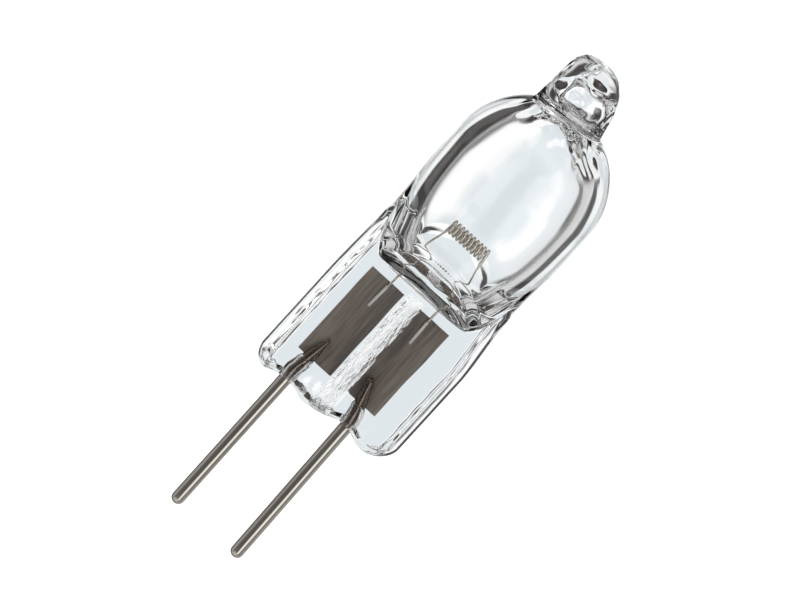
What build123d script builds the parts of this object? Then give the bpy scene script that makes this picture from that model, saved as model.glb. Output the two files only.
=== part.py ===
from build123d import *

import os
from math import asin, atan, atan2, cos, hypot, pi, sin, tan

# Halogen capsule bulb with two pins, lying as it rests on a table: on the tips
# of its pins and on the lower edge of its bulb. Millimetres.
#
# Heights are counted along the lamp's own axis, from the bottom edge of the
# pinch towards the tip-off, and "across" is from the right pin to the left one.

# Bulb: the blown part of the quartz tube
bulb_radius = 4.24
waist_radius = 4.1
waist_height = 11.3
full_radius_height = 13.6
dome_height = 15.76
cavity_radius = 3.25
cavity_floor_radius = 2.6
cavity_full_height = 12.2
cavity_floor_height = 9.2
cavity_floor_depth = 2.9
dome_wall = 1.45

# Funnel: the jaws press the round tube in from all sides, down to the pinch
funnel_foot_height = 7.7
funnel_foot_width = 4.7
funnel_foot_depth = 1.7
funnel_fold_height = 10.6
funnel_round = 0.45
funnel_root = 0.3

# Tip-off: the lump left where the exhaust tube was melted shut
tip_radius = 1.86
tip_draft = 0.12
tip_height = 22.7
tip_corner = 0.6
tip_shift = 0.48
melt_drop = 1.3
melt_run = 1.2
tip_fillet = 0.25

# Pinch: the flat foot that was pressed shut, thicker along its two long rims
pinch_width = 8.68
pinch_shift = -0.09
pinch_neck_height = 6.7
neck_round = 8.0
wing_height = 10.4
web_thickness = 2.6
rim_thickness = 3.1
rim_width = 0.7
rim_round = 0.45
corner_round = 1.0
panel_draft = 40.0
lobe_round = 3.0
left_lobe = -0.1
left_notch = 0.0
middle_lobe = -0.22
right_notch = 0.42
right_lobe = 0.2

# Pins of the base, 4 mm apart at their tips
pin_radius = 0.35
pin_length = 8.45
pin_pitch = 4.0
pin_shift = 0.09
left_pin_splay = 0.06
right_pin_splay = -0.2
left_pin_toe = 0.38
right_pin_toe = 0.66
pin_lap_height = 3.2
pin_bend_height = 0.9
left_bend_radius = 14.0
right_bend_radius = 6.0

# Foils that carry the current through the seal
left_foil_width = 2.15
right_foil_width = 1.95
foil_length = 5.6
foil_thickness = 0.04
foil_height = 1.75
left_foil_shift = 1.64
right_foil_shift = -1.47
foil_feather = 0.3
foil_edge = 0.012
pin_weld_flat = 0.05

# Filament: one wire, wound as a coil between two straight legs
wire_radius = 0.0715
wire_sides = 6
wire_weld_flat = 0.015
coil_radius = 0.38
coil_pitch = 0.243
coil_turns = 9.5
coil_runs = 12
leg_rise = 2.25
leg_lead = 0.7
leg_neck = 3.2
leg_neck_height = 9.4
left_leg_end = 1.53
right_leg_end = -1.28
leg_end_height = 5.7
leg_bend_radius = 1.0

# Smallest length that tells two edges apart
fine = 0.001

# Resting pose: the table is tangent to the pin tips and to the funnel's rounded upper edge
tip_ball_height = pin_radius - pin_length
funnel_slope = (waist_radius - funnel_foot_depth / 2) / (funnel_fold_height - funnel_foot_height)
round_height = funnel_fold_height + funnel_round * tan(atan(funnel_slope) / 2)
round_offset = waist_radius - funnel_round
round_reach = round_height - tip_ball_height
tilt = atan2(round_offset, round_reach)
tilt += asin((funnel_round - pin_radius) / hypot(round_offset, round_reach))

# The box of the lying lamp runs from the pin tips to the edge of the tip-off
nearest_reach = tip_ball_height * cos(tilt) - pin_radius
farthest_reach = (tip_height - tip_corner) * cos(tilt) + (tip_radius - tip_corner) * sin(tilt) + tip_corner
lamp_origin = (
    -(nearest_reach + farthest_reach) / 2,
    -pinch_shift,
    pin_radius - tip_ball_height * sin(tilt),
)

# lamp: cross-sections, with its normal along the axis. face: outlines seen from the front.
# profile: outlines seen from the side, with their first direction towards the viewer.
lamp = Plane(origin=lamp_origin, x_dir=(0, 1, 0), z_dir=(cos(tilt), 0, sin(tilt)))
face = Plane(origin=lamp_origin, x_dir=lamp.x_dir, z_dir=-lamp.y_dir)
profile = Plane(origin=lamp_origin, x_dir=lamp.y_dir, z_dir=lamp.x_dir)
lamp_axis = Axis(lamp_origin, lamp.z_dir)
tip_axis = Axis(lamp.from_local_coords((tip_shift, 0, 0)), lamp.z_dir)


def face_at(across, height, depth=0.0):
    """The face plane moved to a point given across, along the axis and towards the viewer."""
    return Plane(origin=lamp.from_local_coords((across, depth, height)), x_dir=face.x_dir, z_dir=face.z_dir)


def build_pin(tip_across, neck_across, toe_across, bend_radius):
    """A round pin that is bent a little in the glass and flattened where it is welded to its foil."""
    with BuildPart() as pin:
        with BuildLine(lamp) as route:
            FilletPolyline(
                (tip_across, 0, tip_ball_height),
                (neck_across, 0, pin_bend_height),
                (toe_across, 0, pin_lap_height),
                radius=bend_radius,
            )
        with BuildSketch(Plane(origin=route.line @ 0, z_dir=route.line % 0)):
            Circle(pin_radius)
        sweep(path=route.wire())
        with Locations(route.line @ 0):
            Sphere(pin_radius)
        with BuildSketch(face_at(toe_across, foil_height, -foil_front)):
            with Locations((0, foil_length / 2)):
                Rectangle(pin_radius * 4, foil_length)
        extrude(amount=pin_radius, mode=Mode.SUBTRACT)
    return pin


def build_foil(across, foil_width):
    """A thin foil with feathered long edges."""
    with BuildPart() as foil:
        with BuildSketch(lamp.offset(foil_height)):
            with BuildLine():
                Polyline(
                    (across - foil_width / 2, -foil_front),
                    (across + foil_width / 2, -foil_front),
                    (across + foil_width / 2, -foil_front - foil_edge),
                    (across + foil_width / 2 - foil_feather, -foil_front - foil_thickness),
                    (across - foil_width / 2 + foil_feather, -foil_front - foil_thickness),
                    (across - foil_width / 2, -foil_front - foil_edge),
                    close=True,
                )
            make_face()
        extrude(amount=foil_length)
    return foil


def coil_point(step):
    """A corner of the coil, whose turns are made of short straight runs."""
    turn = 2 * pi * step / coil_runs
    along = coil_pitch * step / coil_runs
    return coil_start.from_local_coords((coil_radius * cos(turn), coil_radius * sin(turn), along))


def on_pinch_face(edge):
    """The pressed outline's edges on its two faces, without the closing edge inside the bulb."""
    centre = lamp.to_local_coords(edge.center())
    return abs(abs(centre.Y) - rim_thickness / 2) < fine and centre.Z < wing_height - fine


def on_tip_end(edge):
    """The edges round the end of the tip-off."""
    return lamp.to_local_coords(edge.center()).Z > tip_height - melt_drop * 2


def on_funnel_root(edge):
    """The two edges where the jaws' faces run down into the pinch, without those at its sides."""
    return abs(lamp.to_local_coords(edge.center()).X) < fine


def build_wedge(section, foot_height, foot_half, slope):
    """A wedge that opens up the lamp, drawn on the section plane and wide enough for the bulb."""
    rise = tip_height - foot_height
    with BuildPart() as wedge:
        with BuildSketch(section):
            with BuildLine():
                Polyline(
                    (foot_half, foot_height),
                    (foot_half + slope * rise, tip_height),
                    (-foot_half - slope * rise, tip_height),
                    (-foot_half, foot_height),
                    close=True,
                )
            make_face()
        extrude(amount=pinch_width, both=True)
    return wedge


# Pins and foils
foil_front = pin_radius - pin_weld_flat
left_tip = pin_shift + pin_pitch / 2
right_tip = pin_shift - pin_pitch / 2
left_neck = left_tip + left_pin_splay
right_neck = right_tip - right_pin_splay
pin_left = build_pin(left_tip, left_neck, left_neck - left_pin_toe, left_bend_radius)
pin_right = build_pin(right_tip, right_neck, right_neck + right_pin_toe, right_bend_radius)
foil_left = build_foil(left_foil_shift, left_foil_width)
foil_right = build_foil(right_foil_shift, right_foil_width)

# Filament
coil_height = leg_neck_height + leg_rise
coil_length = coil_turns * coil_pitch
leg_depth = wire_radius - wire_weld_flat - foil_front
coil_start = Plane(
    origin=lamp.from_local_coords((-coil_length / 2, 0, coil_height)),
    x_dir=lamp.y_dir,
    z_dir=lamp.x_dir,
)
lead_slope = coil_pitch / (2 * pi * coil_radius)
lead_height = coil_height - leg_lead
with BuildLine() as coil:
    Polyline([coil_point(step) for step in range(round(coil_turns * coil_runs) + 1)])
with BuildPart() as filament:
    with BuildLine(lamp) as right_leg:
        FilletPolyline(
            (right_leg_end, leg_depth, leg_end_height),
            (-leg_neck / 2, leg_depth, leg_neck_height),
            (-coil_length / 2 - lead_slope * leg_lead, coil_radius, lead_height),
            (-coil_length / 2, coil_radius, coil_height),
            radius=leg_bend_radius,
        )
    with BuildLine(lamp) as left_leg:
        FilletPolyline(
            (coil_length / 2, -coil_radius, coil_height),
            (coil_length / 2 + lead_slope * leg_lead, -coil_radius, lead_height),
            (leg_neck / 2, leg_depth, leg_neck_height),
            (left_leg_end, leg_depth, leg_end_height),
            radius=leg_bend_radius,
        )
    with BuildSketch(Plane(origin=right_leg.line @ 0, z_dir=right_leg.line % 0)):
        RegularPolygon(wire_radius, wire_sides)
    sweep(path=Wire(right_leg.edges() + coil.edges() + left_leg.edges()), transition=Transition.RIGHT)
    with BuildSketch(face_at(0, foil_height + foil_length / 2, -foil_front)):
        Rectangle(pinch_width, foil_length)
    extrude(amount=wire_radius, mode=Mode.SUBTRACT)

# Pinch: the pressed outline with its rounded rims and a recessed panel on each face
pinch_left = pinch_shift + pinch_width / 2
pinch_right = pinch_shift - pinch_width / 2
panel_length = wing_height + pinch_width / 2
panel_middle = wing_height - panel_length / 2
pinch_reach = hypot(pinch_width / 2 + abs(pinch_shift), rim_thickness / 2)
with BuildPart() as pinch:
    with BuildSketch(face):
        with BuildLine():
            FilletPolyline(
                (pinch_left, left_lobe),
                (pinch_left, pinch_neck_height),
                (waist_radius, wing_height),
                (-waist_radius, wing_height),
                (pinch_right, pinch_neck_height),
                (pinch_right, right_lobe),
                (right_neck, right_notch),
                (pinch_shift, middle_lobe),
                (left_neck, left_notch),
                radius=[corner_round, neck_round, 0, 0, neck_round, corner_round] + [lobe_round] * 3,
                close=True,
            )
        make_face()
    extrude(amount=rim_thickness / 2, both=True)
    fillet(pinch.edges().filter_by(on_pinch_face), rim_round)
    with BuildSketch(face):
        with BuildLine():
            Polyline(
                (0, -rim_thickness),
                (pinch_reach, -rim_thickness),
                (pinch_reach, pinch_neck_height),
                (waist_radius, wing_height),
                (0, wing_height),
                close=True,
            )
        make_face()
    revolve(axis=lamp_axis, mode=Mode.INTERSECT)
    for side in (1, -1):
        middle = lamp.from_local_coords((pinch_shift, side * web_thickness / 2, panel_middle))
        with BuildSketch(Plane(origin=middle, x_dir=lamp.x_dir, z_dir=side * lamp.y_dir)):
            Rectangle(pinch_width - 2 * rim_width, panel_length)
        extrude(amount=rim_thickness, taper=-panel_draft, mode=Mode.SUBTRACT)

# Tip-off: a short drafted stub, off the lamp's axis, with one side of its end run down
with BuildPart() as tip_off:
    with BuildSketch(face):
        with BuildLine():
            Polyline(
                (tip_shift, dome_height),
                (tip_shift + tip_radius + tip_draft, dome_height),
                (tip_shift + tip_radius, tip_height),
                (tip_shift, tip_height),
                close=True,
            )
        make_face()
    revolve(axis=tip_axis)
    with BuildSketch(face):
        with BuildLine():
            Polyline(
                (tip_shift - tip_radius - melt_run, tip_height - melt_drop * 2),
                (tip_shift - tip_radius + melt_run, tip_height),
                (tip_shift - tip_radius - melt_run, tip_height),
                close=True,
            )
        make_face()
    extrude(amount=tip_radius * 2, both=True, mode=Mode.SUBTRACT)
    fillet(tip_off.edges().filter_by(on_tip_end), tip_corner)

# Glass envelope: one piece of quartz from the pinch to the tip-off
side_slope = (waist_radius - funnel_foot_width / 2) / (wing_height - funnel_foot_height)
cavity_top = dome_height + bulb_radius - dome_wall
front_jaws = build_wedge(profile, funnel_foot_height, funnel_foot_depth / 2, funnel_slope)
side_jaws = build_wedge(face, funnel_foot_height, funnel_foot_width / 2, side_slope)
inner_jaws = build_wedge(profile, cavity_floor_height, cavity_floor_depth / 2, funnel_slope)
with BuildPart() as cavity:
    with BuildSketch(face):
        with BuildLine():
            Polyline(
                (0, cavity_top),
                (0, cavity_floor_height),
                (cavity_floor_radius, cavity_floor_height),
                (cavity_radius, cavity_full_height),
                (cavity_radius, cavity_top - cavity_radius),
            )
            RadiusArc((cavity_radius, cavity_top - cavity_radius), (0, cavity_top), -cavity_radius)
        make_face()
    revolve(axis=lamp_axis)
    add(inner_jaws.part, mode=Mode.INTERSECT)
with BuildPart() as quartz_envelope:
    with BuildSketch(face):
        with BuildLine():
            Polyline(
                (0, dome_height + bulb_radius),
                (0, funnel_foot_height),
                (waist_radius, funnel_foot_height),
                (waist_radius, waist_height),
                (bulb_radius, full_radius_height),
                (bulb_radius, dome_height),
            )
            RadiusArc((bulb_radius, dome_height), (0, dome_height + bulb_radius), -bulb_radius)
        make_face()
    revolve(axis=lamp_axis)
    add(front_jaws.part, mode=Mode.INTERSECT)
    fillet(quartz_envelope.edges().filter_by(GeomType.ELLIPSE), funnel_round)
    add(side_jaws.part, mode=Mode.INTERSECT)
    add(pinch.part)
    fillet(quartz_envelope.edges(Select.NEW).filter_by(on_funnel_root), funnel_root)
    add(tip_off.part)
    fillet(quartz_envelope.edges(Select.NEW), tip_fillet)
    add(cavity.part, mode=Mode.SUBTRACT)
    for held in (pin_left, pin_right, foil_left, foil_right, filament):
        add(held.part, mode=Mode.SUBTRACT)

# Export
os.makedirs("parts", exist_ok=True)
for name, piece in (
    ("quartz_envelope", quartz_envelope),
    ("pin_left", pin_left),
    ("pin_right", pin_right),
    ("foil_left", foil_left),
    ("foil_right", foil_right),
    ("filament", filament),
):
    piece.part.label = name
    export_step(piece.part, f"parts/{name}.step")
    print(name, piece.part.volume, piece.part.is_valid, len(piece.solids()))
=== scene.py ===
from math import asin, atan, atan2, cos, exp, hypot, pi, sin, sqrt, tan

import bmesh
import bpy
from mathutils import Matrix, Vector, noise


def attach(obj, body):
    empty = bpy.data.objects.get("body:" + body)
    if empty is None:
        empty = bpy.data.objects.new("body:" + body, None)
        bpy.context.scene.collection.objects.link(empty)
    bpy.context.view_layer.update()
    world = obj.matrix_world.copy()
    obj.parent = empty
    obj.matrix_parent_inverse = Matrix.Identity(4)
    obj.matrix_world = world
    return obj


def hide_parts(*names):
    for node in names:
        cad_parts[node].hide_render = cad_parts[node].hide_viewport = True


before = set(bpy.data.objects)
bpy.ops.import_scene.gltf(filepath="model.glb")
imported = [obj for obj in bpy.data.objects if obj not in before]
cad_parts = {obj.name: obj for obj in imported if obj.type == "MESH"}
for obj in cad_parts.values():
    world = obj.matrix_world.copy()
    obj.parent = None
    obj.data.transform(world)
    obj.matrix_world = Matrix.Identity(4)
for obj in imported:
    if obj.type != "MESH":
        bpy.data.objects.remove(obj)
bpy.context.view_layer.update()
MM = 0.001

# The lamp's own sizes in millimetres, as the solids have them
BULB_R = 4.23
WAIST_R = 4.1
WAIST_HEIGHT = 11.3
FULL_R_HEIGHT = 13.6
DOME = 15.76
FUNNEL_FOOT = 7.7
FUNNEL_FOOT_HALF = 2.35
FUNNEL_FOOT_DEPTH = 0.85
FUNNEL_FOLD = 10.6
FUNNEL_ROUND = 0.45
WING = 10.4
BORE_R = 3.27
BORE_FLOOR = 9.4
BORE_WIDEST = 14.2
BORE_TOP = 19.0
TIP_R = 1.86
TIP_FOOT = 19.9
TIP_TOP = 22.7
TIP_CORNER = 0.6
TIP_SHIFT = 0.48
PINCH_HALF = 4.34
PINCH_SHIFT = -0.09
WEB_HALF = 1.3
RIM_HALF = 1.55
PIN_R = 0.35
PIN_END = PIN_R - 8.45
PIN_BEND = 0.9
PIN_TOP = 3.2

# The lying lamp leans on its pin tips and on the funnel's rounded upper edge
FRONT_SLOPE = (WAIST_R - FUNNEL_FOOT_DEPTH) / (FUNNEL_FOLD - FUNNEL_FOOT)
SIDE_SLOPE = (WAIST_R - FUNNEL_FOOT_HALF) / (WING - FUNNEL_FOOT)
round_reach = FUNNEL_FOLD + FUNNEL_ROUND * tan(atan(FRONT_SLOPE) / 2) - PIN_END
round_offset = WAIST_R - FUNNEL_ROUND
TILT = atan2(round_offset, round_reach)
TILT += asin((FUNNEL_ROUND - PIN_R) / hypot(round_offset, round_reach))
nearest = PIN_END * cos(TILT) - PIN_R
farthest = (TIP_TOP - TIP_CORNER) * cos(TILT) + (TIP_R - TIP_CORNER) * sin(TILT) + TIP_CORNER
FOOT = Vector((-(nearest + farthest) / 2, -PINCH_SHIFT, PIN_R - PIN_END * sin(TILT)))
AXIS = Vector((cos(TILT), 0.0, sin(TILT)))


def at(across, depth, height):
    """A lamp point in metres: across to the left pin, depth to the viewer, height along the axis."""
    x = FOOT.x + height * cos(TILT) - depth * sin(TILT)
    z = FOOT.z + height * sin(TILT) + depth * cos(TILT)
    return Vector((x, FOOT.y + across, z)) * MM


def clamp(value, low, high):
    return max(low, min(high, value))


def ease(value, start, end):
    """0 before start, 1 after end, smooth between."""
    t = clamp((value - start) / (end - start), 0.0, 1.0)
    return t * t * (3 - 2 * t)


def soft_min(a, b, width):
    """The lower of two heights, with the corner between them rounded."""
    h = clamp(0.5 + 0.5 * (b - a) / width, 0.0, 1.0)
    return b + (a - b) * h - width * h * (1 - h)


# Meshes
def new_piece(name, mesh, material):
    """Makes a finished mesh a smooth-shaded piece on the lamp's body."""
    data = bpy.data.meshes.new(name)
    mesh.to_mesh(data)
    mesh.free()
    data.shade_smooth()
    data.materials.append(material)
    piece = bpy.data.objects.new(name, data)
    bpy.context.scene.collection.objects.link(piece)
    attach(piece, "root")
    return piece


def next_ring(mesh, ring):
    """Extrudes a closed ring of vertices, and gives the new ring in the same order."""
    members = set(ring)
    edges = [e for v in ring for e in v.link_edges if e.other_vert(v) in members]
    grown = bmesh.ops.extrude_edge_only(mesh, edges=list(dict.fromkeys(edges)))["geom"]
    fresh = {g for g in grown if isinstance(g, bmesh.types.BMVert)}
    return [next(e.other_vert(v) for e in v.link_edges if e.other_vert(v) in fresh) for v in ring]


def loft(mesh, segments, rings, place):
    """Grows a closed tube ring by ring. place(k, i) gives the lamp point of vertex i on ring k."""
    ring = bmesh.ops.create_circle(mesh, segments=segments, radius=MM)["verts"]
    for i, vertex in enumerate(ring):
        vertex.co = at(*place(0, i))
    first = ring
    for k in range(1, rings):
        ring = next_ring(mesh, ring)
        for i, vertex in enumerate(ring):
            vertex.co = at(*place(k, i))
    for end in (first, ring):
        centre = sum((v.co for v in end), Vector()) / len(end)
        bmesh.ops.pointmerge(mesh, verts=end, merge_co=centre)


def between(table, value):
    """Reads a table of (value, answer) rows, straight between its rows."""
    for (v0, a0), (v1, a1) in zip(table, table[1:]):
        if value <= v1:
            return a0 + (a1 - a0) * clamp((value - v0) / (v1 - v0), 0.0, 1.0)
    return table[-1][1]


def swell(x, y, z, size, seed):
    """Slow unevenness of the flame-worked surface, from -1 to 1."""
    return noise.noise(Vector((x / size + seed, y / size, z / size)))


# Quartz: the pressed pinch
QUARTER = 80
SEGMENTS = QUARTER * 4
SIDE_STEP = 12
CORNER_STEP = 22
WALL_STEP = 32
CORNER = 0.45
RIM_WALL = 0.2
DIMPLE = (1.05, 0.95)
DIMPLE_DEPTH = 0.14


def pinch_half(height):
    """Half the pinch's width: straight, tapering up the wings, then lost inside the tube."""
    return PINCH_HALF - 0.22 * ease(height, 6.0, 10.2) - 0.7 * ease(height, 10.1, 11.4)


def quarter_point(q, half, wobble):
    """Point q of a quarter outline: up the side, round the rim, down its inner flank, along the web."""
    flat = RIM_HALF - CORNER
    if q <= SIDE_STEP:
        return half, flat * q / SIDE_STEP
    if q <= CORNER_STEP:
        turn = pi / 2 * (q - SIDE_STEP) / (CORNER_STEP - SIDE_STEP)
        return half - CORNER + CORNER * cos(turn), flat + CORNER * sin(turn)
    edge = half - CORNER - RIM_WALL + wobble
    if q <= WALL_STEP:
        t = (q - CORNER_STEP) / (WALL_STEP - CORNER_STEP)
        fall = 0.2 * ease(t, 0, 1) + 0.8 * t
        return half - CORNER + (edge - half + CORNER) * t, RIM_HALF - (RIM_HALF - WEB_HALF) * fall
    t = (q - WALL_STEP) / (QUARTER - WALL_STEP)
    start = atan2(WEB_HALF, edge)
    x = (edge * (1 - t) + WEB_HALF / tan(start + (pi / 2 - start) * t)) / 2
    return x, WEB_HALF


def round_angles():
    """The direction of each vertex where the outline has become round, evenly opened over the quarter."""
    seen = [atan2(*reversed(quarter_point(q, PINCH_HALF, 0.0))) for q in range(QUARTER + 1)]
    wall = [seen[CORNER_STEP] + 0.004 * n for n in range(1, WALL_STEP - CORNER_STEP + 1)]
    spread = (pi / 2 - wall[-1]) / (pi / 2 - seen[WALL_STEP])
    return seen[: CORNER_STEP + 1] + wall + [pi / 2 - (pi / 2 - a) * spread for a in seen[WALL_STEP + 1 :]]


ROUND = round_angles()


def quarter_of(i):
    """The quarter step of vertex i, and the signs of its across and depth."""
    part, step = divmod(i, QUARTER)
    return (step if part % 2 == 0 else QUARTER - step), (1 if part in (0, 3) else -1), (1 if part < 2 else -1)


def pinch_section(i, height):
    """Vertex i of the pinch's outline at a height."""
    q, sign_x, sign_y = quarter_of(i)
    wobble = 0.12 * swell(sign_x, sign_y, height, 0.8, 3.0) - (0.14 if sign_x > 0 else -0.02)
    x, y = quarter_point(q, pinch_half(height), wobble)
    face = ease(y, WEB_HALF - 0.4, WEB_HALF)
    y += 0.02 * swell(sign_x * x * 2.2, sign_y * 3.0, height * 0.5, 1.0, 9.0) * face
    if sign_y > 0:
        y -= DIMPLE_DEPTH * exp(-(((sign_x * x - DIMPLE[0]) / 0.42) ** 2) - ((height - DIMPLE[1]) / 0.4) ** 2)
    return sign_x * x + PINCH_SHIFT * (1 - ease(height, 6.0, 9.5)), sign_y * y


# Height of the pinch's uneven lower edge over its width, with a notch where each pin leaves it
LOWER_EDGE = (
    *((-4.4, 0.34), (-3.3, 0.12), (-2.6, 0.1), (-1.9, 0.38), (-1.2, 0.44), (-0.6, 0.12), (0.1, -0.05)),
    *((0.8, -0.12), (1.5, 0.08), (2.1, 0.2), (2.7, 0.1), (3.3, -0.2), (4.4, -0.1)),
)


def pinch_floor(x, y):
    """Height of the pinch's lower face, bevelled towards both faces and rounded at its two corners."""
    side = clamp((abs(x - PINCH_SHIFT) - (PINCH_HALF - 1.0)) / 1.0, 0.0, 1.0)
    face = clamp((abs(y) - (WEB_HALF - 0.3)) / 0.3, 0.0, 1.0)
    bevel = clamp((abs(y) - 0.25) / (WEB_HALF - 0.25), 0.0, 1.0)
    rise = 1.0 * (1 - sqrt(1 - side * side)) + 0.2 * (1 - sqrt(1 - face * face))
    return between(LOWER_EDGE, x) + rise + (0.2 + 0.2 * swell(x, 0.0, 0.0, 0.9, 8.0)) * bevel


# Quartz: funnel, bulb, dome and tip-off
CAP_RINGS = 26
PLATE_RINGS = 34
PLATE_TOP = 7.4
FUNNEL_RINGS = 74
FUNNEL_TOP = 11.5
BULB_RINGS = 14
DOME_RINGS = 34
HOLLOW_RINGS = 8
TIP_RINGS = 30
TIP_END_RINGS = 4
TIP_END_ACROSS = 0.75
DOME_TURN = 1.066
HOLLOW_R = 2.05


def bulb_radius(height):
    return WAIST_R + (BULB_R - WAIST_R) * ease(height, WAIST_HEIGHT - 0.3, FULL_R_HEIGHT + 0.3)


def funnel_radius(angle, height):
    """The round tube, pressed flat by the front and back jaws and by the side jaws."""
    front = max(FUNNEL_FOOT_DEPTH + FRONT_SLOPE * (height - FUNNEL_FOOT), 0.05) / max(abs(sin(angle)), 1e-6)
    side = max(FUNNEL_FOOT_HALF + SIDE_SLOPE * (height - FUNNEL_FOOT), 0.05) / max(abs(cos(angle)), 1e-6)
    radius = soft_min(soft_min(bulb_radius(height), front, 0.25), side, 0.2)
    pressed = ease(height, 8.0, 8.8) * (1 - ease(height, 10.4, 11.6))
    return radius - 0.014 * pressed * (1 + swell(cos(angle) * 4, sin(angle) * 4, height, 1.3, 5.0))


def skin_point(i, height):
    """Vertex i of the outer skin at a height, from the pinch to the dome's foot."""
    x, y = pinch_section(i, height)
    q, sign_x, sign_y = quarter_of(i)
    angle = atan2(sign_y * sin(ROUND[q]), sign_x * cos(ROUND[q]))
    flat_out, flat_angle = hypot(x, y), atan2(y, x)
    out = funnel_radius(angle, height)
    width = 0.1 + 0.3 * sin(angle) ** 2
    share = clamp(0.5 + 0.5 * (out - flat_out) / width, 0.0, 1.0)
    out = -soft_min(-out, -flat_out, width)
    turn = flat_angle + share * ((angle - flat_angle + pi) % (2 * pi) - pi)
    return out * cos(turn), out * sin(turn), height


# The melted tip-off's left side, right side and half depth over its height
TIP_LEFT = (
    *((TIP_FOOT, 2.44), (21.0, 2.38), (21.65, 2.32), (22.1, 2.22)),
    *((22.35, 2.1), (22.55, 1.88), (22.65, 1.66), (TIP_TOP, 1.3)),
)
TIP_RIGHT = (
    *((TIP_FOOT, -1.44), (20.3, -1.38), (21.0, -1.22), (21.65, -0.98)),
    *((21.95, -0.8), (22.4, -0.4), (22.6, -0.1), (TIP_TOP, 0.2)),
)
TIP_DEPTH = ((TIP_FOOT, 1.9), (21.4, 1.82), (22.0, 1.66), (22.4, 1.36), (22.6, 1.05), (TIP_TOP, 0.6))


def tip_point(angle, height):
    left, right = between(TIP_LEFT, height), between(TIP_RIGHT, height)
    middle = (left + right) / 2
    x = middle + (left - right) / 2 * cos(angle)
    y = between(TIP_DEPTH, height) * sin(angle)
    dent = 1 - (0.02 + 0.03 * swell(x, y, height, 0.8, 1.0)) * (1 - ease(height, 22.3, 22.6))
    return middle + (x - middle) * dent, y * dent, height


def dome_height(x, y):
    return DOME + sqrt(max(BULB_R**2 - x * x - y * y, 0.0))


def top_point(k, i):
    """Vertex i on ring k of the dome, the narrow hollow round the tip-off's foot, and the tip-off."""
    q, sign_x, sign_y = quarter_of(i)
    angle = atan2(sign_y * sin(ROUND[q]), sign_x * cos(ROUND[q]))
    if k < DOME_RINGS:
        out = BULB_R * cos((k + 1) / DOME_RINGS * DOME_TURN)
        x = out * cos(angle) + (TIP_SHIFT + 0.02) * ease(-out, -3.6, -HOLLOW_R)
        y = out * sin(angle)
        return x, y, dome_height(x, y)
    k -= DOME_RINGS
    if k < HOLLOW_RINGS:
        ax, ay, az = top_point(DOME_RINGS - 1, i)
        bx, by, bz = tip_point(angle, TIP_FOOT)
        t = (k + 1) / (HOLLOW_RINGS + 1)
        a, b, c = (1 - t) ** 2, t * t, 2 * t * (1 - t)
        return a * ax + (b + c) * bx, a * ay + (b + c) * by, a * az + b * bz + c * dome_height(bx, by)
    k -= HOLLOW_RINGS
    if k < TIP_RINGS - TIP_END_RINGS:
        rise = sin(pi / 2 * k / (TIP_RINGS - TIP_END_RINGS))
        return tip_point(angle, TIP_FOOT + (TIP_TOP - TIP_FOOT) * rise)
    x, y, height = tip_point(angle, TIP_TOP)
    share = (TIP_RINGS - 1 - k) / TIP_END_RINGS + 0.02
    return TIP_END_ACROSS + (x - TIP_END_ACROSS) * share, y * share, height


def envelope_point(k, i):
    """Vertex i on ring k of the quartz's outer skin."""
    if k < CAP_RINGS:
        x, y = pinch_section(i, 1.0)
        share = sin(pi / 2 * k / (CAP_RINGS - 1))
        x, y = (x - PINCH_SHIFT) * share + PINCH_SHIFT, y * share
        return x, y, pinch_floor(x, y)
    k -= CAP_RINGS
    if k < PLATE_RINGS:
        x, y = pinch_section(i, 1.0)
        low = pinch_floor(x, y)
        return skin_point(i, low + (PLATE_TOP - low) * (k + 1) / PLATE_RINGS)
    k -= PLATE_RINGS
    if k < FUNNEL_RINGS:
        return skin_point(i, PLATE_TOP + (FUNNEL_TOP - PLATE_TOP) * (k + 1) / FUNNEL_RINGS)
    k -= FUNNEL_RINGS
    if k < BULB_RINGS:
        return skin_point(i, FUNNEL_TOP + (DOME - FUNNEL_TOP) * (k + 1) / BULB_RINGS)
    return top_point(k - BULB_RINGS, i)


# Quartz: the sealed bore, a barrel with a dished floor and an uneven top
BORE_SEGMENTS = 160
FLOOR_RINGS = 20
WALL_RINGS = 44
CROWN_RINGS = 34
BORE_TAPER = 0.036
FLOOR_DISH = 0.12
FLOOR_EDGE = 0.1


def bore_radius(height):
    return BORE_R - BORE_TAPER * (BORE_WIDEST - height) ** 2


def bore_floor(y):
    return BORE_FLOOR + FLOOR_DISH * y * y


def cavity_point(k, i):
    """Vertex i on ring k of the bore."""
    angle = 2 * pi * i / BORE_SEGMENTS
    edge = bore_radius(bore_floor(2.6 * sin(angle)))
    low = bore_floor(edge * sin(angle))
    if k < FLOOR_RINGS:
        t = k / (FLOOR_RINGS - 1)
        share = 0.01 + 0.98 * sin(pi / 2 * t)
        x, y = edge * share * cos(angle), edge * share * sin(angle)
        edge_rise = FLOOR_EDGE * (1 - cos(pi / 2 * t)) ** 2
        return x, y, bore_floor(y) + edge_rise + 0.04 * swell(x, y, 0.0, 0.6, 2.0) * (1 - t * t)
    k -= FLOOR_RINGS
    if k < WALL_RINGS:
        low += FLOOR_EDGE
        height = low + (BORE_WIDEST - low) * ((k + 1) / WALL_RINGS) ** 1.2
        radius = bore_radius(height)
        return radius * cos(angle), radius * sin(angle), height
    k -= WALL_RINGS
    rise = sin(pi / 2 * (k + 1) / (CROWN_RINGS + 0.3))
    out = BORE_R * sqrt(1 - rise**2.6)
    x, y = out * cos(angle), out * sin(angle)
    height = BORE_WIDEST + (BORE_TOP - BORE_WIDEST) * rise
    near_top = exp(-((out / 2.1) ** 4))
    lump = swell(x, y, height, 1.2, 4.0) + 0.3 * swell(x, y, height, 0.5, 5.0) - 0.3
    return x + 0.25 * near_top, y, height + 0.5 * near_top * lump


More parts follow.
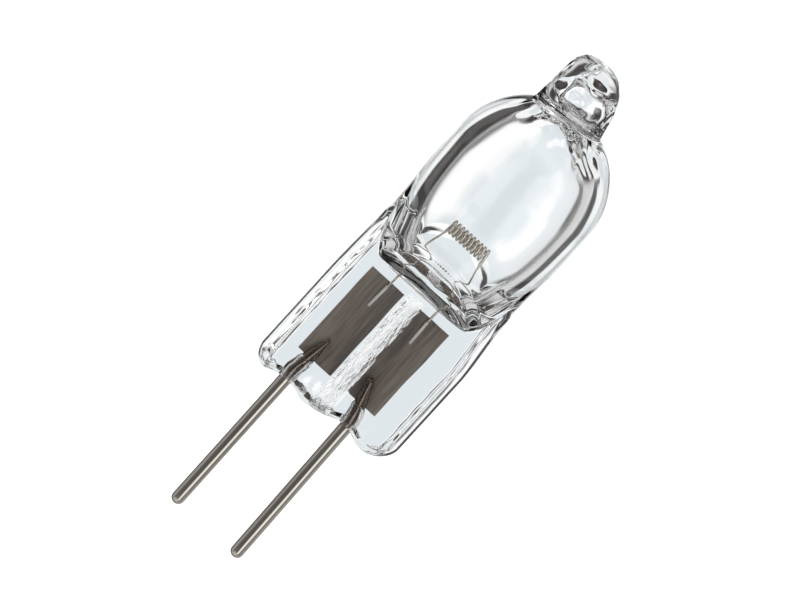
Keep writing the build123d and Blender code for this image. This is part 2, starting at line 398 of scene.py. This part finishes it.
# Quartz: bubbles and pockets shut into the melted glass, as (across, depth, height), half sizes and lean
SEEDS = (
    ((1.08, 0.1, 22.0), (0.26, 0.26, 0.3), 0.0),
    ((1.0, -0.3, 21.45), (0.1, 0.1, 0.12), 0.0),
    ((0.35, 0.0, 20.6), (1.08, 1.0, 0.92), 0.06),
    ((-0.35, 0.3, 21.55), (0.5, 0.3, 0.12), -0.4),
    ((1.85, 0.1, 21.3), (0.07, 0.35, 0.6), 0.06),
    ((-2.08, 1.2, 9.2), (0.2, 0.15, 0.14), 0.0),
)
STEM = 2


def add_seed(mesh, place, size, lean, number):
    """A small uneven bubble. The stem, what is left of the exhaust tube's bore, is larger and squarer."""
    verts = bmesh.ops.create_icosphere(mesh, subdivisions=4, radius=MM)["verts"]
    for vertex in verts:
        x, y, z = vertex.co / MM
        swollen = 1 + 0.35 * swell(x, y, z, 0.9, 11.0 * number)
        if number == STEM:
            swollen = 1 + 0.2 * swell(x * size[0], y, z * size[2], 0.5, 2.0)
            swollen /= (x**4 + y**4 + z**4) ** 0.2
        x, y, z = x * size[0] * swollen, y * size[1] * swollen, z * size[2] * swollen
        x, z = x * cos(lean) - z * sin(lean), x * sin(lean) + z * cos(lean)
        vertex.co = at(place[0] + x, place[1] + y, place[2] + z)


# Each pin: its name, its place across at the tip, the bend and the inner end, how much that end tapers,
# and the lean and the foot of the gap round it
PINS = (
    ("pin_left", 2.09, 2.15, 1.77, 0.75, -0.165, 0.34),
    ("pin_right", -1.91, -1.71, -1.05, 0.3, 0.287, 0.52),
)
GAP_TOP = 1.75


def sleeve(mesh, neck, lean, low):
    """The narrow gap that the hot glass leaves round a pin, closed below by the glass's edge."""
    rings = 26
    segments = 48

    def place(k, i):
        t = clamp((k - 3) / (rings - 7), 0.0, 1.0)
        height = low + (GAP_TOP - low) * t
        across = neck + lean * max(height - PIN_BEND, 0.0)
        angle = 2 * pi * i / segments
        gap = 0.05 + 0.04 * (1 + swell(cos(angle), sin(angle), height * 1.5, 0.8, 6.0))
        end = 1.0 if 3 <= k < rings - 4 else (k + 0.3) / 3 if k < 3 else (rings - 0.7 - k) / 4
        radius = (PIN_R + gap * min(1.0, (1 - t) * 6)) * sqrt(clamp(end, 0.0, 1.0))
        return across + radius * cos(angle), radius * sin(angle), height

    loft(mesh, segments, rings, place)


def build_envelope(material):
    """The quartz: outer skin, sealed bore and the bubbles shut in the melted glass, in one mesh."""
    mesh = bmesh.new()
    rings = CAP_RINGS + PLATE_RINGS + FUNNEL_RINGS + BULB_RINGS + DOME_RINGS + HOLLOW_RINGS + TIP_RINGS
    loft(mesh, SEGMENTS, rings, envelope_point)
    bmesh.ops.recalc_face_normals(mesh, faces=mesh.faces)
    outer = set(mesh.faces)
    loft(mesh, BORE_SEGMENTS, FLOOR_RINGS + WALL_RINGS + CROWN_RINGS, cavity_point)
    for number, (place, size, lean) in enumerate(SEEDS):
        add_seed(mesh, place, size, lean, number)
    for _, _, neck, _, _, lean, low in PINS:
        sleeve(mesh, neck, lean, low)
    inner = [f for f in mesh.faces if f not in outer]
    bmesh.ops.recalc_face_normals(mesh, faces=inner)
    bmesh.ops.reverse_faces(mesh, faces=inner)
    return new_piece("quartz_skin", mesh, material)


# Filament: one wire through its right leg, the coil and its left leg
WIRE_R = 0.065
COIL_R = 0.38
COIL_PITCH = 0.243
COIL_TURNS = 9.5
COIL_HEIGHT = 11.46
LEG_DEPTH = WIRE_R - 0.3
LEG_NECKS = (1.62, -1.58)
LEG_NECK_HEIGHT = 9.35
LEG_ROOTS = (1.34, -1.2)
LEG_ROOT_HEIGHT = 8.9
LEG_ENDS = (1.53, -1.28)
LEG_END_HEIGHT = 5.7
LEAD = 0.7
WELD_TOP = 7.1
WELD_R = 0.095
WELD_LIFT = 0.035


def wire_path():
    """Points along the wire, close together where it turns."""
    length = COIL_TURNS * COIL_PITCH
    slope = COIL_PITCH / (2 * pi * COIL_R)
    turns = []
    steps = int(COIL_TURNS * 40)
    for n in range(steps + 1):
        turn = 2 * pi * COIL_TURNS * n / steps
        across = -length / 2 + length * n / steps
        turns.append(Vector((across, COIL_R * cos(turn), COIL_HEIGHT + COIL_R * sin(turn))))
    right = [
        Vector((LEG_ENDS[1], LEG_DEPTH, LEG_END_HEIGHT)),
        Vector((LEG_ROOTS[1], LEG_DEPTH, LEG_ROOT_HEIGHT)),
        Vector((LEG_NECKS[1], LEG_DEPTH, LEG_NECK_HEIGHT)),
        Vector((-length / 2 - slope * LEAD, COIL_R, COIL_HEIGHT - LEAD)),
    ]
    left = [
        Vector((length / 2 + slope * LEAD, -COIL_R, COIL_HEIGHT - LEAD)),
        Vector((LEG_NECKS[0], LEG_DEPTH, LEG_NECK_HEIGHT)),
        Vector((LEG_ROOTS[0], LEG_DEPTH, LEG_ROOT_HEIGHT)),
        Vector((LEG_ENDS[0], LEG_DEPTH, LEG_END_HEIGHT)),
    ]
    return rounded(right + [turns[0]])[:-1] + turns + rounded([turns[-1]] + left)[1:]


def bend(start, corner, end, steps):
    """Points on the curve that rounds a corner between two straight runs."""
    parts = [n / steps for n in range(steps + 1)]
    return [start * (1 - t) ** 2 + corner * 2 * t * (1 - t) + end * t * t for t in parts]


def rounded(corners):
    """A run of straight wire with its bends rounded."""
    path = [corners[0]]
    for before, corner, after in zip(corners, corners[1:], corners[2:]):
        cut = min(0.35, (corner - before).length / 2, (after - corner).length / 2)
        start = corner + (before - corner).normalized() * cut
        end = corner + (after - corner).normalized() * cut
        path += bend(start, corner, end, 5)
    return path + [corners[-1]]


def tube(mesh, path, radii, segments):
    """A round wire along lamp points, with its radius at each, closed at both ends."""
    frames = []
    side = None
    for n, point in enumerate(path):
        run = (path[min(n + 1, len(path) - 1)] - path[max(n - 1, 0)]).normalized()
        if side is None:
            side = run.orthogonal().normalized()
        side = (side - run * side.dot(run)).normalized()
        frames.append((point, side, run.cross(side)))

    def place(k, i):
        point, side, up = frames[k]
        angle = 2 * pi * i / segments
        return point + side * (radii[k] * cos(angle)) + up * (radii[k] * sin(angle))

    loft(mesh, segments, len(path), place)
    bmesh.ops.recalc_face_normals(mesh, faces=mesh.faces)


def wire_radius(height):
    """Thinner in the legs than in the coil, and wider where it lies pressed on a foil."""
    if height < WELD_TOP + 0.01:
        return WELD_R
    thinner = 0.015 * (ease(height, 10.6, 11.0) - ease(height, 9.0, 9.3))
    return WIRE_R + 0.02 * ease(height, COIL_HEIGHT - 0.75, COIL_HEIGHT - 0.45) + thinner


def build_filament(material, weld):
    """The wire, thinner in its legs, and bright where its ends are welded flat on the foils."""
    mesh = bmesh.new()
    path = []
    wire = wire_path()
    wire = [wire[0], wire[0].lerp(wire[1], 0.01), *wire[1:-1], wire[-1].lerp(wire[-2], 0.01), wire[-1]]
    for n, point in enumerate(wire):
        if n and min(point.z, path[-1].z) < WELD_TOP < max(point.z, path[-1].z):
            share = (WELD_TOP - path[-1].z) / (point.z - path[-1].z)
            path += [path[-1].lerp(point, share * 0.98), path[-1].lerp(point, share)]
        path.append(point)
    for point in path:
        if point.z < WELD_TOP + 0.01:
            point.y += WELD_LIFT
    tube(mesh, path, [wire_radius(point.z) for point in path], 12)
    weld_line = at(0, 0, WELD_TOP)
    for face in mesh.faces:
        face.material_index = int((face.calc_center_median() - weld_line).dot(AXIS) < 0)
    piece = new_piece("tungsten_wire", mesh, material)
    piece.data.materials.append(weld)
    return piece


# Pins: smooth round wire, bent a little in the glass
PIN_FLAT = 0.3


def build_pin(name, tip, neck, toe, thin, material):
    """A pin with a round tip below, and above a tapered end that lies flat on its foil."""
    mesh = bmesh.new()
    segments = 64
    path = [Vector((tip, 0, PIN_END)), Vector((neck, 0, PIN_BEND)), Vector((toe, 0, PIN_TOP))]
    path = rounded_bend(path, 0.5)
    run = (path[1] - path[0]).normalized()
    turns = [pi / 2 * n / 8 for n in range(8)]
    frames = [(path[0] - run * PIN_R * cos(turn), PIN_R * sin(turn)) for turn in turns]
    frames += [(p, PIN_R) for p in path]

    def place(k, i):
        point, radius = frames[k]
        angle = 2 * pi * i / segments
        height = point.z
        radius *= 1 - thin * ease(height, 1.7, 3.3)
        x, y = radius * cos(angle), radius * sin(angle)
        if height > GAP_TOP:
            y = max(y, -PIN_FLAT)
        return point.x + x, y, height

    loft(mesh, segments, len(frames), place)
    bmesh.ops.recalc_face_normals(mesh, faces=mesh.faces)
    return new_piece(name, mesh, material)


def rounded_bend(corners, cut):
    """Two straight runs with a rounded bend between them, in short steps."""
    start, corner, end = corners
    first = corner + (start - corner).normalized() * cut
    last = corner + (end - corner).normalized() * cut
    down = [start + (first - start) * n / 20 for n in range(20)]
    up = [last + (end - last) * n / 12 for n in range(1, 13)]
    return down + bend(first, corner, last, 10) + up


# Materials
def srgb(code):
    """A hex colour as Blender's linear light."""
    parts = [int(code[n : n + 2], 16) / 255 for n in (1, 3, 5)]
    return tuple(c / 12.92 if c <= 0.04045 else ((c + 0.055) / 1.055) ** 2.4 for c in parts) + (1.0,)


def add(tree, kind, settings=None, links=None):
    """Adds a node, sets its values and links its inputs from (node, socket) pairs."""
    node = tree.nodes.new(kind)
    for key, value in (settings or {}).items():
        if key in node.inputs:
            node.inputs[key].default_value = value
        elif key.startswith("#"):
            node.inputs[int(key[1:])].default_value = value
        else:
            setattr(node, key, value)
    for key, (source, socket) in (links or {}).items():
        target = int(key[1:]) if key.startswith("#") else key
        tree.links.new(source.outputs[socket], node.inputs[target])
    return node


def new_material(name):
    material = bpy.data.materials.new(name)
    material.use_nodes = True
    material.node_tree.nodes.clear()
    return material, material.node_tree


def finish_material(tree, shader):
    out = tree.nodes.new("ShaderNodeOutputMaterial")
    tree.links.new(shader.outputs[0], out.inputs["Surface"])


def lamp_coordinates(tree):
    """Object coordinates in millimetres, turned so that Z runs along the lamp's axis."""
    place = add(tree, "ShaderNodeTexCoord")
    return add(
        tree,
        "ShaderNodeMapping",
        {"Rotation": (0.0, TILT - pi / 2, 0.0), "Scale": (1000.0, 1000.0, 1000.0)},
        {"Vector": (place, "Object")},
    )


# Where the glass begins and where its streaky strip ends, along the axis from the box's middle
GLASS_EDGE = FOOT.x * cos(TILT) + FOOT.z * sin(TILT) + 0.2
STREAK_END = GLASS_EDGE + 7.6


def quartz_material():
    """Fused quartz, flame-worked: clear and almost colourless, with faint draw lines and press marks."""
    material, tree = new_material("fused_quartz")
    place = lamp_coordinates(tree)
    stretch = add(tree, "ShaderNodeMapping", {"Scale": (1.0, 1.0, 0.22)}, {"Vector": (place, "Vector")})
    streaks = add(
        tree,
        "ShaderNodeTexNoise",
        {"Scale": 1.1, "Detail": 2.0, "Roughness": 0.4},
        {"Vector": (stretch, "Vector")},
    )
    bump = add(tree, "ShaderNodeBump", {"Strength": 0.12, "Distance": 0.00005}, {"Height": (streaks, "Fac")})
    parts = add(tree, "ShaderNodeSeparateXYZ", None, {"Vector": (place, "Vector")})
    aside = add(tree, "ShaderNodeMath", {"operation": "ABSOLUTE"}, {"#0": (parts, "Y")})
    strip = add(tree, "ShaderNodeMapRange", {"From Min": 0.62, "From Max": 0.4}, {"Value": (aside, 0)})
    foot = add(
        tree,
        "ShaderNodeMapRange",
        {"From Min": STREAK_END, "From Max": STREAK_END - 0.6},
        {"Value": (parts, "Z")},
    )
    share = add(tree, "ShaderNodeMath", {"operation": "MULTIPLY"}, {"#0": (strip, 0), "#1": (foot, 0)})
    drawn = add(tree, "ShaderNodeMapping", {"Scale": (1.0, 1.0, 0.3)}, {"Vector": (place, "Vector")})
    ripple = add(
        tree,
        "ShaderNodeTexNoise",
        {"Scale": 3.2, "Detail": 3.0, "Roughness": 0.6},
        {"Vector": (drawn, "Vector")},
    )
    power = add(tree, "ShaderNodeMath", {"operation": "MULTIPLY", "#1": 0.9}, {"#0": (share, 0)})
    bump = add(
        tree,
        "ShaderNodeBump",
        {"Distance": 0.0004},
        {"Strength": (power, 0), "Height": (ripple, "Fac"), "Normal": (bump, "Normal")},
    )
    shader = add(
        tree,
        "ShaderNodeBsdfPrincipled",
        {"Base Color": (1.0, 1.0, 1.0, 1.0), "Roughness": 0.0, "IOR": 1.458, "Transmission Weight": 1.0},
        {"Normal": (bump, "Normal")},
    )
    finish_material(tree, shader)
    return material


def drawn_metal(name, colour, rough, scale, burnt=None):
    """Drawn wire: fine lengthwise lines give the gloss a soft streak. Burnt is its colour in the glass."""
    material, tree = new_material(name)
    place = lamp_coordinates(tree)
    stretch = add(tree, "ShaderNodeMapping", {"Scale": (1.0, 1.0, 0.04)}, {"Vector": (place, "Vector")})
    lines = add(tree, "ShaderNodeTexNoise", {"Scale": scale, "Detail": 3.0}, {"Vector": (stretch, "Vector")})
    gloss = add(
        tree,
        "ShaderNodeMapRange",
        {"To Min": rough * 0.8, "To Max": rough * 1.25},
        {"Value": (lines, "Fac")},
    )
    bump = add(tree, "ShaderNodeBump", {"Strength": 0.2, "Distance": 0.000005}, {"Height": (lines, "Fac")})
    shader = add(
        tree,
        "ShaderNodeBsdfPrincipled",
        {"Base Color": srgb(colour), "Metallic": 1.0},
        {"Roughness": (gloss, "Result"), "Normal": (bump, "Normal")},
    )
    if burnt:
        parts = add(tree, "ShaderNodeSeparateXYZ", None, {"Vector": (place, "Vector")})
        heat = add(
            tree,
            "ShaderNodeMapRange",
            {"From Min": GLASS_EDGE, "From Max": GLASS_EDGE + 0.5},
            {"Value": (parts, "Z")},
        )
        tint = add(
            tree,
            "ShaderNodeMix",
            {"data_type": "RGBA", "#6": srgb(colour), "#7": srgb(burnt)},
            {"#0": (heat, 0)},
        )
        tree.links.new(tint.outputs[2], shader.inputs["Base Color"])
    finish_material(tree, shader)
    return material


def weld_material():
    """The wire's ends, welded flat on the foils: bright satin metal, lighter than the matt foil behind it."""
    material, tree = new_material("welded_tungsten")
    shader = add(
        tree,
        "ShaderNodeBsdfPrincipled",
        {"Base Color": srgb("#fbf9f5"), "Metallic": 0.15, "Roughness": 0.5},
    )
    finish_material(tree, shader)
    return material


def foil_material():
    """Molybdenum foil, rolled and fused into the quartz: matt warm grey with fine rolling lines."""
    material, tree = new_material("molybdenum_foil")
    place = lamp_coordinates(tree)
    stretch = add(tree, "ShaderNodeMapping", {"Scale": (1.0, 1.0, 0.08)}, {"Vector": (place, "Vector")})
    lines = add(tree, "ShaderNodeTexNoise", {"Scale": 6.0, "Detail": 4.0}, {"Vector": (stretch, "Vector")})
    parts = add(tree, "ShaderNodeSeparateXYZ", None, {"Vector": (place, "Vector")})
    aside = add(tree, "ShaderNodeMath", {"operation": "ABSOLUTE"}, {"#0": (parts, "Y")})
    # The foil's tone is lighter the farther it lies across from the lamp's axis, with the rolling lines over
    # it
    lighter_outward = add(
        tree,
        "ShaderNodeMath",
        {"operation": "MULTIPLY_ADD", "#1": 0.16},
        {"#0": (aside, 0), "#2": (lines, "Fac")},
    )
    tone = add(tree, "ShaderNodeValToRGB", None, {"Fac": (lighter_outward, 0)})
    tone.color_ramp.elements[0].position = 0.5
    tone.color_ramp.elements[0].color = srgb("#6c635c")
    tone.color_ramp.elements[1].position = 1.0
    tone.color_ramp.elements[1].color = srgb("#a2978d")
    shader = add(
        tree,
        "ShaderNodeBsdfPrincipled",
        {"Metallic": 0.2, "Roughness": 0.6},
        {"Base Color": (tone, "Color")},
    )
    finish_material(tree, shader)
    return material


# Studio
def ramp(tree, source, stops):
    """Light over the angle from straight down, in degrees: grey levels, or three numbers for a colour."""
    node = add(tree, "ShaderNodeValToRGB", None, {"Fac": source})
    bar = node.color_ramp
    while len(bar.elements) > 1:
        bar.elements.remove(bar.elements[-1])
    for n, (angle, level) in enumerate(stops):
        element = bar.elements[0] if n == 0 else bar.elements.new(angle / 180)
        element.position = angle / 180
        element.color = (*(level if isinstance(level, tuple) else (level, level, level)), 1.0)
    return node


def seen_in_glass(tree):
    """1 for rays that glass or metal sends on, 0 for the camera's own rays."""
    path = add(tree, "ShaderNodeLightPath")
    seen = add(
        tree,
        "ShaderNodeMath",
        {"operation": "MAXIMUM"},
        {"#0": (path, "Is Glossy Ray"), "#1": (path, "Is Transmission Ray")},
    )
    return add(
        tree,
        "ShaderNodeMath",
        {"operation": "SUBTRACT", "use_clamp": True},
        {"#0": (seen, 0), "#1": (path, "Is Camera Ray")},
    )


def build_studio():
    """White all round for the camera. Glass and metal see a light table below, black flags along the lamp's
    two long sides and soft boxes above."""
    world = bpy.data.worlds.new("studio")
    bpy.context.scene.world = world
    world.use_nodes = True
    tree = world.node_tree
    tree.nodes.clear()
    place = add(tree, "ShaderNodeTexCoord")
    parts = add(tree, "ShaderNodeSeparateXYZ", None, {"Vector": (place, "Generated")})
    below = add(tree, "ShaderNodeMath", {"operation": "MULTIPLY", "#1": -1.0}, {"#0": (parts, "Z")})
    from_nadir = add(tree, "ShaderNodeMath", {"operation": "ARCCOSINE"}, {"#0": (below, 0)})
    angle = add(tree, "ShaderNodeMath", {"operation": "DIVIDE", "#1": pi}, {"#0": (from_nadir, 0)})
    table = (0.792, 0.85, 0.877)
    pale = (0.9, 0.94, 0.96)
    flag = (0.03, 0.025, 0.022)
    left = ramp(
        tree,
        (angle, 0),
        [(0, table), (4.2, table), (5.5, pale), (8, 1.1), (21, 1.1), (27, flag), (56, flag), (64, 0.5)]
        + [(85, 0.6), (104, 0.6), (125, 0.2), (150, 0.12), (180, 0.12)],
    )
    right = ramp(
        tree,
        (angle, 0),
        [(0, table), (4.2, table), (6.5, 1.12), (9.5, 1.12), (12, pale), (21, pale), (26, flag), (39, flag)]
        + [(45, 0.7), (80, 0.6), (100, 0.35), (118, 0.25), (130, 1.8), (158, 1.8), (170, 0.3), (180, 0.12)],
    )
    ends = ramp(
        tree,
        (angle, 0),
        [(0, table), (28, table), (35, 0.95), (42, 0.9), (47, flag), (61, flag), (68, 0.65), (84, 0.65)]
        + [(112, 0.9), (135, 0.9), (150, 0.15), (180, 0.12)],
    )
    side = add(tree, "ShaderNodeMapRange", {"From Min": -0.12, "From Max": 0.12}, {"Value": (parts, "Y")})
    flags = add(
        tree,
        "ShaderNodeMix",
        {"data_type": "RGBA"},
        {"#0": (side, "Result"), "#6": (right, "Color"), "#7": (left, "Color")},
    )
    flat = add(tree, "ShaderNodeCombineXYZ", None, {"X": (parts, "X"), "Y": (parts, "Y")})
    heading = add(tree, "ShaderNodeVectorMath", {"operation": "NORMALIZE"}, {"#0": (flat, 0)})
    turned = add(tree, "ShaderNodeSeparateXYZ", None, {"Vector": (heading, 0)})
    aside = add(tree, "ShaderNodeMath", {"operation": "ABSOLUTE"}, {"#0": (turned, "Y")})
    share = add(
        tree,
        "ShaderNodeMapRange",
        {"interpolation_type": "SMOOTHSTEP", "From Min": 0.45, "From Max": 0.8},
        {"Value": (aside, 0)},
    )
    lit = add(
        tree,
        "ShaderNodeMix",
        {"data_type": "RGBA"},
        {"#0": (share, "Result"), "#6": (ends, "Color"), "#7": (flags, 2)},
    )
    colour = add(
        tree,
        "ShaderNodeMix",
        {"data_type": "RGBA", "#6": (1.0, 1.0, 1.0, 1.0)},
        {"#0": (seen_in_glass(tree), 0), "#7": (lit, 2)},
    )
    background = add(tree, "ShaderNodeBackground", {"Strength": 1.0}, {"Color": (colour, 2)})
    out = tree.nodes.new("ShaderNodeOutputWorld")
    tree.links.new(background.outputs[0], out.inputs["Surface"])

    mesh = bmesh.new()
    bmesh.ops.create_grid(mesh, x_segments=2, y_segments=2, size=0.6)
    data = bpy.data.meshes.new("table_top")
    mesh.to_mesh(data)
    mesh.free()
    floor = bpy.data.objects.new("table_top", data)
    bpy.context.scene.collection.objects.link(floor)
    material, tree = new_material("white_table")
    path = add(tree, "ShaderNodeLightPath")
    paper = add(tree, "ShaderNodeBsdfDiffuse", {"Color": srgb("#f4f4f4")})
    glow = add(tree, "ShaderNodeEmission", {"Color": (1.0, 1.0, 1.0, 1.0), "Strength": 0.6})
    lit = add(tree, "ShaderNodeAddShader", None, {"#0": (paper, 0), "#1": (glow, 0)})
    shown = add(
        tree,
        "ShaderNodeMixShader",
        None,
        {"Fac": (path, "Is Camera Ray"), "#1": (paper, 0), "#2": (lit, 0)},
    )
    through = tree.nodes.new("ShaderNodeBsdfTransparent")
    surface = add(
        tree,
        "ShaderNodeMixShader",
        None,
        {"Fac": (seen_in_glass(tree), 0), "#1": (shown, 0), "#2": (through, 0)},
    )
    finish_material(tree, surface)
    data.materials.append(material)


def build_camera():
    """Looks straight down with a long lens, turned as the photograph is."""
    distance = 0.6
    data = bpy.data.cameras.new("camera")
    data.sensor_width = 36.0
    data.lens = 36.0 * distance / 0.0398
    data.clip_start = 0.01
    camera = bpy.data.objects.new("camera", data)
    right = Vector((0.6743, -0.7385, 0.0)).normalized()
    up = Vector((0.7385, 0.6743, 0.0)).normalized()
    turn = Matrix((right, up, right.cross(up))).transposed().to_4x4()
    camera.matrix_world = Matrix.Translation((-0.00028, 0.00064, distance + 0.0045)) @ turn
    bpy.context.scene.collection.objects.link(camera)
    bpy.context.scene.camera = camera


bpy.context.scene.view_settings.view_transform = "Standard"
build_camera()
build_studio()
quartz = quartz_material()
envelope = build_envelope(quartz)
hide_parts("quartz_envelope")
filament = build_filament(drawn_metal("tungsten_wire", "#cfc8bc", 0.12, 8.0), weld_material())
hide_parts("filament")
pin_finish = drawn_metal("nickel_pin", "#b9b4ab", 0.16, 9.0, "#6b6057")
for name, tip, neck, toe, thin, _, _ in PINS:
    pin = build_pin(name + "_wire", tip, neck, toe, thin, pin_finish)
    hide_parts(name)
foil_finish = foil_material()
for name in ("foil_left", "foil_right"):
    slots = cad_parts[name].data.materials
    slots.clear()
    slots.append(foil_finish)
